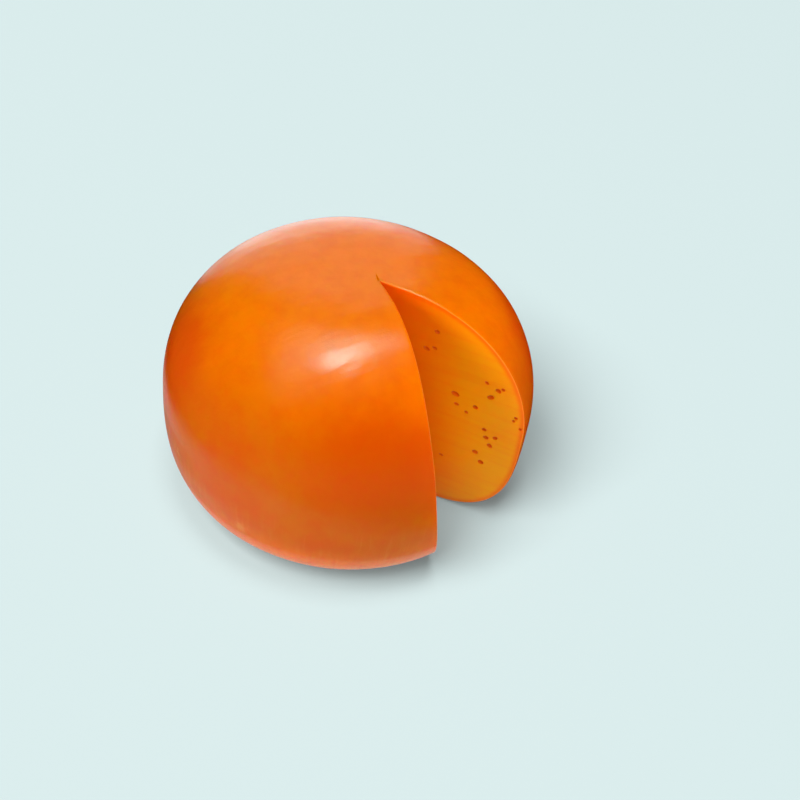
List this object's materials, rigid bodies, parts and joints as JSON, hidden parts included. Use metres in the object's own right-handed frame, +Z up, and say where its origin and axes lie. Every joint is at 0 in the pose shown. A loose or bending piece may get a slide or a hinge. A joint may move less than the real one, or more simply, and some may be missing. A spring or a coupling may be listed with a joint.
{
  "type": "ball of cheese",
  "caption": "Flattened ball of pressed orange cheese in a smooth waxed rind, with a wedge cut out of it that shows the paste and its small eyes.",
  "frame": {"origin": "the middle of the flat foot that the cheese stands on", "axes": "+Z up along the ball's axis; -Y out through the middle of the notch's mouth; +X to the right seen from the notch's side"},
  "size_m": [0.2, 0.1974, 0.1395],
  "materials": {
    "cheese": "satin waxed rind, with smooth orange paste in the cut faces"
  },
  "bodies": {
    "root": {"cheese": "cheese"}
  },
  "joints": []
}
